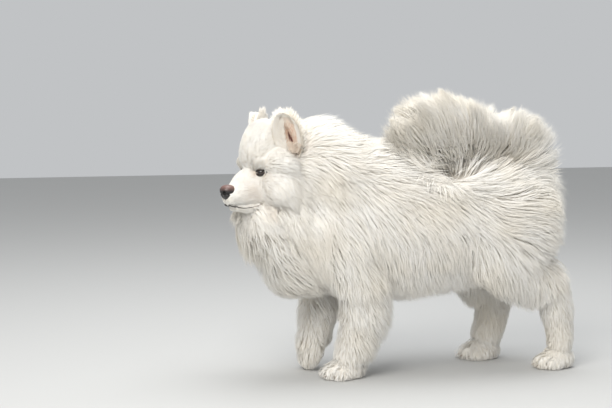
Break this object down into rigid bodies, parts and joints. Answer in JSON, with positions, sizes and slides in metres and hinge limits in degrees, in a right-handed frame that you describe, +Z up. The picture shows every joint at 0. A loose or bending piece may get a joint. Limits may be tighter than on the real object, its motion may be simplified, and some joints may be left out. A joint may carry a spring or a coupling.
{
  "type": "samoyed dog model",
  "caption": "Life-size still model of a white Samoyed dog in mid-stride, tail curled over its back, one forepaw lifted.",
  "frame": {"origin": "floor level under the middle of the animal's bounding box", "axes": "-X forward along the body, -Y to its left, +Z up"},
  "size_m": [0.9128, 0.3334, 0.7008],
  "materials": {
    "white_coat": "long, soft, off-white coat",
    "ear_coat": "short cream fur, pink-tan inside",
    "dark_eye": "wet, dark brown",
    "nose_leather": "pebbled, moist, dark with a pinkish-brown top"
  },
  "bodies": {
    "root": {"head": "white_coat", "left_ear": "ear_coat", "right_ear": "ear_coat", "left_eye": "dark_eye", "right_eye": "dark_eye", "nose": "nose_leather", "neck": "white_coat", "torso": "white_coat", "tail_base": "white_coat", "tail_middle": "white_coat", "tail_tip": "white_coat", "left_fore_leg": "white_coat", "left_fore_paw": "white_coat", "right_fore_leg": "white_coat", "right_fore_paw": "white_coat", "left_hind_leg": "white_coat", "left_hind_paw": "white_coat", "right_hind_leg": "white_coat", "right_hind_paw": "white_coat"}
  },
  "joints": []
}
